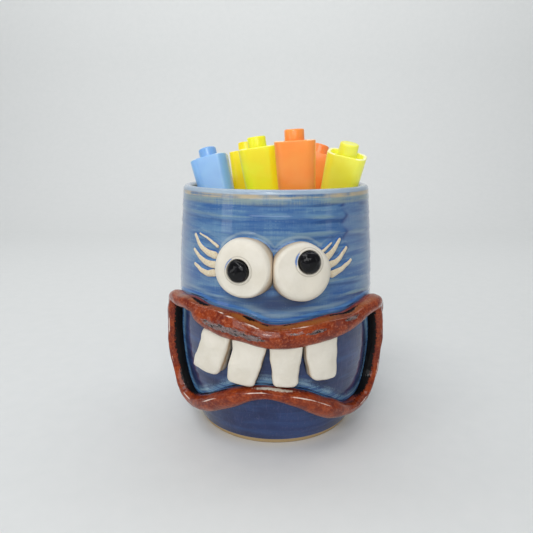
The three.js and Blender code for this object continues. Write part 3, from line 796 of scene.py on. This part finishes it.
def blue_glaze():
    made, shader, nodes = finish_of(
        "blue_glaze", IOR=1.5, Specular_IOR_Level=0.12, Coat_IOR=1.4, Coat_Roughness=0.035
    )
    place = places(nodes)
    height = nodes.node("SeparateXYZ", sockets={0: place}, out="Z")
    streak = noise(nodes, places(nodes, (5, 5, 0.6)), 6, detail=5, rough=0.62, twist=0.4)
    thread = noise(nodes, places(nodes, (6, 6, 0.3)), 3.2, detail=4, rough=0.6)
    drip = noise(nodes, places(nodes, (0.35, 0.35, 4)), 2.2, detail=3)
    cloud = noise(nodes, place, 15, detail=3)
    speckle = noise(nodes, place, 0.55, detail=4, rough=0.7)
    ridge = painted(nodes, "ridge")
    groove = painted(nodes, "groove")

    blue = mix(rise(streak, 0.34, 0.64), tint("335f98"), tint("6288ab"))
    blue = mix(rise(thread + (drip - 0.5) * 0.4, 0.48, 0.74) * 0.5, blue, tint("7f9fb2"))
    blue = mix(rise(cloud, 0.4, 0.66) * 0.5, blue, tint("2f5a96"))
    blue = mix(rise(groove + (thread - 0.5) * 1.2, 0.2, 0.95) * 0.8, blue, tint("24487f"))
    blue = mix(rise(ridge + (thread - 0.5) * 1.6 + (cloud - 0.5) * 0.8, 0.3, 1) * 0.55, blue, tint("86a0a4"))
    blue = mix(painted(nodes, "lap"), blue, tint("1d3f7c"))
    # Paler where the glaze runs thin right of the lap, and a painted reflection paling the wall towards each
    # side.
    blue = mix(painted(nodes, "thin") * 0.7, blue, tint("8a9bb3"))
    blue = mix(rise(painted(nodes, "halo") + (streak - 0.5) * 1.4, 0.3, 1) * 0.6, blue, tint("9aaeb8"))
    # Painted shade below and between the eyes, where glaze also pools dark.
    blue = mix(rise(painted(nodes, "shade") + (streak - 0.5) * 1.1, 0.3, 1) * 0.85, blue, tint("24335c"))
    top = CUP["height"]
    broken = thread * 0.5 + cloud * 0.5
    green = rise(height, top - 7, top - 5.4) * rise(height, top - 1.8, top - 2.6)
    blue = mix(green * rise(broken + (drip - 0.5) * 0.3, 0.3, 0.6) * 0.8, blue, tint("8c9c98"))
    tan = rise(height, top - 4, top - 3.2) * rise(height, top - 1.6, top - 2.2)
    blue = mix(tan * rise(cloud + (thread - 0.5) * 0.6, 0.34, 0.58) * 0.85, blue, tint("c3b190"))
    blue = mix(rise(height, top - 2.2, top - 1.6) * (0.65 + 0.5 * (thread - 0.5)), blue, tint("bccad2"))

    deep = mix(rise(cloud, 0.38, 0.62), tint("1b2a53"), tint("263866"))
    deep = mix(rise(streak, 0.42, 0.7) * 0.55, deep, tint("2f4f84"))
    deep = mix(rise(drip, 0.52, 0.72) * 0.3, deep, tint("50507c"))
    wash = rise(painted(nodes, "wash") + (cloud - 0.5) * 0.6 + (speckle - 0.5) * 0.7, 0.2, 0.9)
    deep = mix(wash * 0.85, deep, mix(rise(thread, 0.38, 0.62), tint("2b568f"), tint("5f90b4")))
    line = painted(nodes, "line") * rise(cloud + speckle * 0.6, 0.65, 0.9)
    deep = mix(line, deep, tint("9fc0cf"))
    color = mix(painted(nodes, "below"), blue, deep)
    cobalt = rise(painted(nodes, "cobalt") + (speckle - 0.5) * 0.9 + (streak - 0.5) * 0.5, 0.3, 0.8)
    color = mix(cobalt * 0.88, color, mix(rise(thread, 0.35, 0.65), tint("2459a6"), tint("568dc6")))
    # Painted shade, near black, in the crevices along the lips and round the teeth.
    crevice = rise(painted(nodes, "crevice") + (cloud - 0.5) * 0.8, 0.25, 0.65)
    color = mix(crevice, color, tint("110f14"))
    color = mix(rise(speckle, 0.62, 0.74) * 0.35, color, tint("a8b4b8"))
    color = mix(rise(speckle, 0.4, 0.3) * 0.25, color, tint("1c3566"))
    bare = painted(nodes, "bare")
    color = mix(bare, color, mix(speckle, tint("c7ad84"), tint("a98d62")))
    normal = bumped(nodes, streak, 0.1)
    normal = bumped(nodes, speckle, 0.03, normal)
    feed(
        shader,
        Base_Color=color,
        Roughness=0.3 + 0.2 * speckle + 0.3 * bare,
        Coat_Weight=1 - bare,
        Normal=normal,
    )
    return made


# Columns of the mesh stand close together over the face and wider apart round the back.
face_columns = np.arange(240) * 0.7 - 84
columns = np.radians(np.concatenate([np.arange(-180, -84, 2), face_columns, np.arange(84, 180, 2)]))
outer_heights = np.concatenate([np.linspace(CUP["bare"] - 0.1, 114.5, 204), [115.1, 115.7, 116.3, 116.9]])
height = outer_heights[:, None]
arc = columns[None, :] * BELLY + 0 * height
height = height + 0 * arc
drawing = np.stack([arc, height], axis=-1)

upper_path = through([(arc_of(a), h, w) for a, h, w, _ in UPPER_LIP], 120)
lower_path = through([(arc_of(a), h, w) for a, h, w, _ in LOWER_LIP], 200)
to_upper = gap_to(drawing, upper_path[:, :2], upper_path[:, 2])
to_lower = gap_to(drawing, lower_path[:, :2], lower_path[:, 2])
mouth = inside(drawing, np.vstack([upper_path[:, :2], lower_path[::-1, :2]]))
above = (1 - mouth) * (height > np.interp(arc, upper_path[3:, 0], upper_path[3:, 1]))
to_eyes = np.minimum(*(signed(drawing, outline) for outline in eye_outlines))
to_lash = np.min([gap_to(drawing, line[:, :2], line[:, 2]) for line in lash_lines], axis=0)
to_teeth = np.min([signed(drawing, outline) for outline in teeth_outlines], axis=0)

around = np.stack([2 * np.sin(columns) + 0 * height, 2 * np.cos(columns) + 0 * height, height / 30], axis=-1)
wander = lumps(around, 1.6, 41)
chin = np.clip((45.5 + 1.6 * wander + 0.6 * lumps(around, 0.3, 45) - height) / 1.5, 0, 1) * (1 - mouth)
phase = (height - THREAD["crest"] + 0.8 * wander) / THREAD["pitch"] + columns / (2 * math.pi)
part = phase - np.round(phase)
ridge = near(part, 0, 0.15)
groove = near(part, -0.3, 0.13)
amount = np.interp(height, *zip(*THREAD_DEPTHS)) * (0.8 + 0.3 * lumps(around, 0.9, 42))
patches = np.stack([around[..., 0], around[..., 1], height / 5], axis=-1)
patchy = np.clip(0.5 + 0.6 * lumps(patches, 0.7, 43), 0, 1)
calm = np.clip((115 - height) / 10, 0, 1) * np.clip(height / 10, 0, 1)
relief = amount * (ridge - 0.7 * groove + 0.2 * np.cos(6 * math.pi * phase)) + 0.12 * wander * calm
collar = 0.5 * fading(np.minimum(to_upper, to_lower), 0.9) + 0.4 * fading(to_eyes, 0.7)
collar = collar + 0.3 * fading(to_lash, 0.4)
outer = wall_radius(height) + relief + collar


def arc_rows(radius, middle, degrees):
    turns = np.radians(list(degrees))
    return [(middle[0] + radius * math.cos(t), middle[1] + radius * math.sin(t)) for t in turns]


half = CUP["lip"] / 2
lip = arc_rows(half, (wall_radius(CUP["height"]) - half, CUP["height"] - half), range(15, 181, 15))
inner = []
for z in np.arange(115, 15, -2.5):
    thick = CUP["lip"] + (CUP["wall"] - CUP["lip"]) * min(1, (117 - z) / 13)
    inner.append((wall_radius(z) - thick, z))
fillet_top = CUP["floor"] + CUP["fillet"]
fillet_radius = wall_radius(fillet_top) - CUP["wall"] - CUP["fillet"]
inner += arc_rows(CUP["fillet"], (fillet_radius, fillet_top), range(0, -91, -10))
inner += [(fillet_radius * s, CUP["floor"]) for s in (0.85, 0.6, 0.3, 0.05)]
foot = [(CUP["foot"] * s, 0) for s in (0.05, 0.5, 0.85, 0.94)]
foot += [(CUP["foot"] - 1.2, 0), (CUP["foot"] - 0.4, 0.25), (CUP["foot"] + 0.1, 0.8), (CUP["foot"] + 0.3, 1.5)]
foot += [(wall_radius(2.3), 2.3), (wall_radius(2.7) + 0.05, 2.7)]


def turned(rows):
    rows = np.array(rows)[:, None, :]
    return np.repeat(rows, len(columns), axis=1)


profile = np.concatenate([turned(foot), np.stack([outer, height], axis=-1), turned(lip), turned(inner)])
radius = profile[..., 0]
rings = np.stack([radius * np.sin(columns), -radius * np.cos(columns), profile[..., 1]], axis=-1)
cup = skin("cup_wall", rings, blue_glaze())


def whole(field, foot_value=0):
    """A field on the outer wall, with one value for the foot and none for the rim and the inside."""
    row = np.ones((1, len(columns)))
    rest = [row * 0] * (len(lip) + len(inner))
    return np.concatenate([row * foot_value] * len(foot) + [np.clip(field, 0, 1)] + rest)


# Where the second dip of glaze ends, in a scalloped line up the right of the face.
lap_edge = arc_of(38.5) + 1.4 * np.cos(2 * math.pi * phase) + 0.5 * wander
beyond_lap = arc - lap_edge
lap = near(beyond_lap, 1.1, 1.3) * np.clip(1.5 * near(part, -0.2, 0.34), 0, 1)
lap = lap * np.clip((height - 82) / 4, 0, 1) * (height < 112.5)
uphill = np.clip((height - np.where(arc < 0, 84, 82)) / 6, 0, 1)
cobalt = 1.05 * fading(np.abs(to_upper - 0.75) - 0.4, 0.4) * above
cobalt = np.maximum(cobalt, fading(to_eyes, 0.55) * uphill)
cobalt = np.maximum(cobalt, 0.75 * fading(to_lash - 0.2, 0.55))
cobalt = np.maximum(cobalt, 0.5 * mouth * fading(to_lower - 0.3, 0.7))
# Painted shade below and between the eyes, where glaze also pools dark.
shade = near(arc, arc_of(1.5), 17) * near(height, 71.5, 4.2) + 0.55 * fading(to_eyes, 1.6) * (1 - uphill)
halo = 0.8 * near(to_eyes, 1.9, 0.8) * uphill + 0.5 * near(to_lash, 1.9, 0.6)
halo = halo + 0.6 * near(to_upper, 3.1, 1.7) * above
right_thin = 0.8 * np.clip(beyond_lap / 2, 0, 1) * near(height, 100, 16)
# A painted reflection, paling the wall towards each side.
side_thin = 0.9 * np.clip((np.abs(arc) - arc_of(48)) / arc_of(20), 0, 1)
# Painted shade in the crevices: along both lips, and round the teeth in the mouth.
crevice = 0.9 * near(to_upper, -0.3, 0.4) * (0.5 + 0.4 * lumps(around, 0.5, 44))
crevice = crevice + 0.7 * near(to_lower, -0.1, 0.45) + 0.9 * fading(to_teeth, 0.4) * mouth
paint(
    cup,
    ridge=whole(ridge * patchy * amount / 0.13 * above),
    groove=whole(groove * patchy * amount / 0.13 * above),
    below=whole(np.maximum(mouth, chin)),
    cobalt=whole(cobalt),
    halo=whole(halo),
    shade=whole(shade * above),
    wash=whole(mouth * fading(np.minimum(to_lower - 1.2, to_upper + 2), 2.2)),
    line=whole(mouth * (0.85 * near(to_lower, 1.9, 0.6) + 0.35 * near(to_lower, 3.6, 0.6))),
    lap=whole(lap),
    # Thin glaze right of the lap, with the painted reflection towards the sides.
    thin=whole(np.maximum(right_thin, side_thin) * above * (0.7 + 0.3 * wander)),
    crevice=whole(crevice),
    bare=whole(0 * height, foot_value=1),
)
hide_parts("cup_body")
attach(cup, "cup")


# ---- Highlighters ----
# Six flat pens of glossy plastic, tinted through in the colour of their ink. Each has a barrel with a shoulder,
# a collar and a neck, a plug in its bottom end, a felt rod and nib, and a cap that flares to its free end,
# where the top is sunk round a short tube.

PEN = {
    "seam": 106.4, "width": 16.2, "depth": 12, "corner": 4, "shell": 1.5, "flange": 3, "spigot": 5,
    "seat": 5, "slack": 0.35, "gap": 0.3, "neck": 3.8, "bore": 3, "neck_high": 13.5, "nib": 2.6,
    "nib_proud": 6.5, "rod_top": 101,
}
CAP = {
    "length": 22, "width": 18, "depth": 13.5, "corner": 4.5, "taper": 0.078, "recess": 4, "deck": 1.5,
    "tube": 4.33, "bore": 3.3, "tube_proud": 4.8,
}
# Name, the roll of the pen about its length, and the colours of its plastic in the light and in the shade.
INKS = [
    ("blue", -8, "88b8e3", "76a6dc"),
    ("gold", -12, "fde80c", "f6d404"),
    ("lemon", 0, "ecf22a", "f0e41c"),
    ("orange", -1, "fa9c44", "f88c36"),
    ("deep_orange", 0, "fa9044", "f6742c"),
    ("pale_yellow", -16, "eef058", "e8e23a"),
]


def section(width, depth, corner, z):
    """One ring: a rectangle with round corners, or a circle when the corner is half of both sides."""
    ring = []
    for start, (sx, sy) in zip((0, 90, 180, 270), ((1, 1), (-1, 1), (-1, -1), (1, -1))):
        for degrees in np.linspace(start, start + 90, 13):
            turn = math.radians(degrees)
            x = sx * (width / 2 - corner) + corner * math.cos(turn)
            y = sy * (depth / 2 - corner) + corner * math.sin(turn)
            ring.append((x, y, z))
    return ring


def circle(radius, z):
    return section(radius * 2, radius * 2, radius - 0.001, z)


def bar_end(width, depth, corner, z, edge, up):
    """Rings of a rounded edge, from the side of a bar to its end."""
    rings = []
    for degrees in (0, 30, 60, 90):
        turn = math.radians(degrees)
        inset = edge * (1 - math.cos(turn))
        level = z - up * edge * (1 - math.sin(turn))
        rings.append(section(width - 2 * inset, depth - 2 * inset, corner - inset, level))
    return rings


def barrel_rings():
    wide, deep, corner = PEN["width"], PEN["depth"], PEN["corner"]
    low, seam, thin = PEN["flange"] + PEN["gap"], PEN["seam"], PEN["corner"] - PEN["shell"]
    seat = 2 * (PEN["shell"] + PEN["slack"])
    rings = [section(wide - 3, deep - 3, thin, low), section(wide - 3, deep - 3, thin, seam - 1.5)]
    rings += [circle(PEN["bore"], seam - 1.5), circle(PEN["bore"], seam + PEN["neck_high"])]
    neck_top = seam + PEN["neck_high"]
    rings += [circle(PEN["neck"] - 0.3, neck_top), circle(PEN["neck"], neck_top - 0.3)]
    rings += [circle(PEN["neck"], seam + PEN["seat"] + 0.4), circle(PEN["neck"] + 0.4, seam + PEN["seat"])]
    rings += bar_end(wide - seat, deep - seat, thin, seam + PEN["seat"], 0.5, 1)[::-1]
    rings += [section(wide - seat, deep - seat, thin, seam + 0.2)]
    rings += [section(wide - seat + 0.4, deep - seat + 0.4, thin, seam)]
    rings += bar_end(wide, deep, corner, seam, 0.3, 1)[::-1]
    rings += [section(wide, deep, corner, z) for z in (seam * 0.66, seam * 0.33)]
    return rings + bar_end(wide, deep, corner, low, 0.3, -1)


def plug_rings():
    wide, deep, corner = PEN["width"], PEN["depth"], PEN["corner"]
    slack = 2 * (PEN["shell"] + PEN["gap"])
    thin = corner - PEN["shell"]
    rings = [section(wide * 0.3, deep * 0.3, 1, 0.4), section(wide * 0.7, deep * 0.7, 2.5, 0.4)]
    rings += [section(wide * 0.74, deep * 0.74, 2.6, 0)]
    rings += bar_end(wide, deep, corner, 0, 0.5, -1)[::-1] + bar_end(wide, deep, corner, PEN["flange"], 0.2, 1)
    top = PEN["flange"] + PEN["gap"] + PEN["spigot"]
    return rings + [section(wide - slack, deep - slack, thin, PEN["flange"])] + bar_end(
        wide - slack, deep - slack, thin, top, 0.5, 1
    )


def nib_rings():
    tip = PEN["seam"] + PEN["neck_high"] + PEN["nib_proud"]
    rings = [circle(PEN["nib"], z) for z in (PEN["rod_top"] + PEN["gap"], PEN["seam"] + PEN["neck_high"] + 1)]
    slope = math.tan(math.radians(40))
    nib = PEN["nib"]
    for radius, drop in ((nib, 0.35), (nib - 0.12, 0.1), (nib - 0.4, 0), (nib * 0.4, 0)):
        rings.append([(x, y, min(tip, tip - 2 + y * slope) - drop) for x, y, _ in circle(radius, 0)])
    return rings


def cap_rings():
    """From the top of the bore in the tube, down inside, round the mouth, up outside, over the rim and up the
    tube."""
    mouth, end = PEN["seam"] + PEN["gap"], PEN["seam"] + CAP["length"]
    deck = end - CAP["recess"]
    wall = 2 * PEN["shell"]

    def flared(z, less):
        lost = (end - z) * CAP["taper"] + less
        return section(CAP["width"] - lost, CAP["depth"] - lost, CAP["corner"] - less / 2, z)

    tube, top = CAP["tube"], end + CAP["tube_proud"]
    rings = [circle(0.5, top - 1.4), circle(CAP["bore"], top - 1.4)]
    rings += [circle(CAP["bore"], deck - CAP["deck"]), flared(deck - CAP["deck"], wall)]
    rings += [flared(mouth + 0.2, wall)]
    rings += [flared(mouth, wall - 0.4), flared(mouth, 0.5), flared(mouth + 0.25, 0.06), flared(mouth + 0.5, 0)]
    rings += [flared(z, 0) for z in np.linspace(mouth + 3, end - 0.6, 6)]
    rings += [flared(end - 0.3, 0.08), flared(end - 0.08, 0.3), flared(end, 0.7), flared(end, wall - 0.6)]
    rings += [flared(end - 0.15, wall - 0.15), flared(end - 0.5, wall), flared(deck + 0.7, wall)]
    rings += [flared(deck + 0.2, wall + 0.4), flared(deck, wall + 1.4)]
    rings += [circle(tube + 0.4, deck), circle(tube, deck + 0.4)]
    rings += [circle(tube, top - 5), circle(tube, top - 0.7)]
    rings += [circle(tube - 0.1, top - 0.3), circle(tube - 0.45, top)]
    rings += [circle(tube * 0.7, top - 0.08), circle(0.6, top - 0.12)]
    return rings


# A painted glow: the plastic gives off a little light in its own colour, standing in for its fluorescent
# pigment.
PEN_GLOW = 0.13  # fluorescent pigment gives back more light than falls on it in its own colour


def plastic_of(ink, light, shade):
    made, shader, nodes = finish_of(
        f"{ink}_plastic",
        IOR=1.5,
        Subsurface_Weight=0.35,
        Subsurface_Radius=(1, 0.7, 0.4),
        Subsurface_Scale=0.004,
        Coat_Weight=0.3,
        Coat_Roughness=0.1,
        Emission_Strength=PEN_GLOW,
    )
    place = places(nodes)
    cloud = noise(nodes, place, 14, detail=2)
    color = mix(rise(cloud, 0.3, 0.75), tint(light), tint(shade))
    scuff = noise(nodes, places(nodes, (1, 1, 5)), 0.8, detail=3)
    # A painted highlight, near white, along the top rim of the cap.
    color = mix(rise(painted(nodes, "thin"), 0.2, 1) * 0.5, color, tint("fffbe0"))
    feed(
        shader,
        Base_Color=color,
        Emission_Color=color,
        Roughness=0.26 + 0.14 * scuff,
        Normal=bumped(nodes, scuff, 0.01),
    )
    return made


def felt_of(ink, shade):
    made, shader, nodes = finish_of(f"{ink}_felt", Specular_IOR_Level=0.1)
    fibre = noise(nodes, places(nodes, (0.25, 0.25, 2)), 1, detail=4, rough=0.7)
    color = mix(fibre, tint(shade), [0.6 * c for c in tint(shade)[:3]] + [1])
    feed(shader, Base_Color=color, Roughness=0.85 + 0.1 * fibre, Normal=bumped(nodes, fibre, 0.1))
    return made


axes = {joint["child"]: np.array(joint["axis"]) for joint in frame["joints"]}
for ink, twist, light, shade in INKS:
    axis = axes[f"{ink}_pen"] / np.linalg.norm(axes[f"{ink}_pen"])
    rod_low, rod_high = (np.array(corner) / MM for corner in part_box(f"{ink}_reservoir"))
    rod_bottom = PEN["flange"] + PEN["spigot"] + 2 * PEN["gap"]
    start = (rod_low + rod_high) / 2 - axis * (rod_bottom + PEN["rod_top"]) / 2
    right = np.array([1, 0, 0]) - axis * axis[0]
    right /= np.linalg.norm(right)
    back = np.cross(axis, right)
    lean = math.radians(twist)
    placing = np.eye(4)
    placing[:3, 0] = right * math.cos(lean) + back * math.sin(lean)
    placing[:3, 1] = back * math.cos(lean) - right * math.sin(lean)
    placing[:3, 2] = axis
    placing[:3, 3] = start
    cap_top = max(np.dot(v.co, axis) for v in frame["nodes"][f"{ink}_cap"].data.vertices) / MM
    out = cap_top - start @ axis - PEN["seam"] - CAP["length"] - CAP["tube_proud"]
    plastic = plastic_of(ink, light, shade)
    felt = felt_of(ink, shade)
    for part, rings, body, finish, loop in (
        ("barrel", barrel_rings(), "pen", plastic, True),
        ("end_plug", plug_rings(), "pen", plastic, False),
        ("nib", nib_rings(), "pen", felt, False),
        ("cap", cap_rings(), "cap_body", plastic, False),
    ):
        rings = np.array(rings)
        if part == "cap":
            rings[..., 2] += out
        made = skin(f"{ink}_{part}_shell", moved(rings, placing), finish, joined=loop)
        if finish is plastic:
            # Painted highlight along the cap's top rim, on the skirt and not on the tube.
            rim = near(rings[..., 2], PEN["seam"] + CAP["length"] + out, 0.5)
            paint(made, thin=rim * (abs(rings[..., 0]) > CAP["tube"] + 0.6) * (part == "cap"))
        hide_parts(f"{ink}_{part}")
        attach(made, f"{ink}_{body}")
    frame["nodes"][f"{ink}_reservoir"].data.materials.clear()
    frame["nodes"][f"{ink}_reservoir"].data.materials.append(felt)
